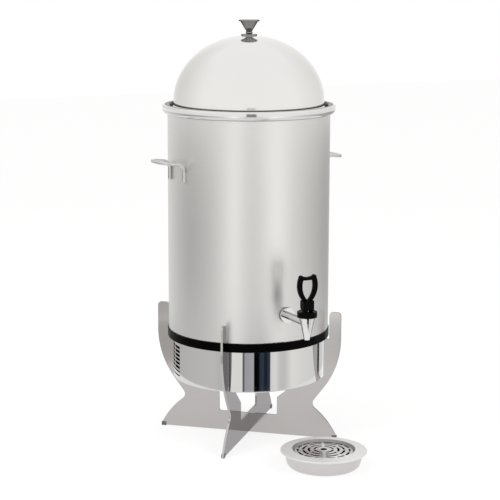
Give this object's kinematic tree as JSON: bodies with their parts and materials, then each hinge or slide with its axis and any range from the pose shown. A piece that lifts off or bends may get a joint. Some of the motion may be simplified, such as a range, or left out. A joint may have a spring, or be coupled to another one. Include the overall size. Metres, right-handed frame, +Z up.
{
  "type": "coffee urn",
  "caption": "Tall cylindrical steel coffee urn with a domed lift-off lid, a lever tap, side carry handles, a slotted base drum on a cross stand and a loose round drip tray.",
  "frame": {"origin": "On the urn's vertical axis, on the floor the stand and the tray rest on", "axes": "+Z up; the tap points to -Y; +X is on the left of the urn as seen from behind the tap's user, that is the user's right"},
  "size_m": [0.3562, 0.4367, 0.7027],
  "materials": {
    "vessel_steel": "satin brushed",
    "lid_steel": "satin spun",
    "drum_steel": "polished",
    "collar_steel": "satin",
    "handle_steel": "polished",
    "knob_chrome": "polished",
    "tap_chrome": "plated",
    "lever_black": "gloss",
    "bonnet_black": "satin",
    "ring_black": "gloss",
    "stand_steel": "satin",
    "glide_plastic": "smooth",
    "gasket_rubber": "moulded",
    "seal_silicone": "moulded",
    "pin_steel": "ground",
    "fastener_steel": "zinc plated",
    "stem_plastic": "moulded",
    "spreader_aluminium": "rolled",
    "element_sheath": "annealed",
    "insulation_wool": "mineral felt",
    "clamp_steel": "zinc plated",
    "thermostat_body": "moulded",
    "cutoff_body": "drawn",
    "block_plastic": "moulded",
    "lead_sleeve": "silicone",
    "gland_plastic": "moulded",
    "tray_steel": "satin",
    "grid_steel": "satin pressed"
  },
  "bodies": {
    "urn": {"vessel_shell": "vessel_steel", "moulded_ring": "ring_black", "base_drum": "drum_steel", "tie_bolts": "fastener_steel", "tie_nuts": "fastener_steel", "mouth_collar": "collar_steel", "carry_handle_left": "handle_steel", "carry_handle_right": "handle_steel", "tap_body": "tap_chrome", "tap_gasket": "gasket_rubber", "tap_inner_gasket": "gasket_rubber", "tap_nut": "tap_chrome", "tap_seal": "seal_silicone", "tap_bonnet": "bonnet_black", "stand_plate_front_left": "stand_steel", "stand_plate_front_right": "stand_steel", "foot_glides": "glide_plastic", "heat_spreader": "spreader_aluminium", "heating_element": "element_sheath", "insulation_pad": "insulation_wool", "clamp_plate": "clamp_steel", "centre_stud": "fastener_steel", "centre_nut": "fastener_steel", "thermostat": "thermostat_body", "thermal_cutoff": "cutoff_body", "terminal_block": "block_plastic", "block_screws": "fastener_steel", "thermostat_lead": "lead_sleeve", "cutoff_lead": "lead_sleeve", "element_leads": "lead_sleeve", "cord_gland": "gland_plastic", "gland_nut": "gland_plastic"},
    "lid": {"lid_dome": "lid_steel", "knob_washer": "knob_chrome", "knob_bead": "knob_chrome", "lid_knob": "knob_chrome", "lid_pad": "gasket_rubber", "knob_screw": "fastener_steel"},
    "stem": {"tap_stem": "stem_plastic"},
    "lever": {"tap_lever": "lever_black", "tap_pin": "pin_steel"},
    "tray": {"tray_bowl": "tray_steel", "tray_flange": "tray_steel"},
    "grid": {"drip_grid": "grid_steel"}
  },
  "joints": [
    {"name": "lid_lift", "type": "slide", "parent": "urn", "child": "lid", "axis": [0, 0, 1], "range_m": [0, 0.15]},
    {"name": "stem_lift", "type": "slide", "parent": "urn", "child": "stem", "axis": [0, 0, 1], "range_m": [0, 0.0028], "deforming": ["tap_seal"]},
    {"name": "lever_tilt", "type": "hinge", "parent": "stem", "child": "lever", "pos_m": [0, -0.203, 0.261], "axis": [1, 0, 0], "range_deg": [0, 40], "stiffness_Nm_per_rad": 0.12, "springref_deg": -11.46},
    {"name": "tray_lift", "type": "slide", "parent": "urn", "child": "tray", "axis": [0, 0, 1], "range_m": [0, 0.12]},
    {"name": "grid_lift", "type": "slide", "parent": "tray", "child": "grid", "axis": [0, 0, 1], "range_m": [0, 0.05]}
  ],
  "couplings": [
    {"joint": "stem_lift", "follows": "lever_tilt", "m_per_rad": 0.004}
  ]
}
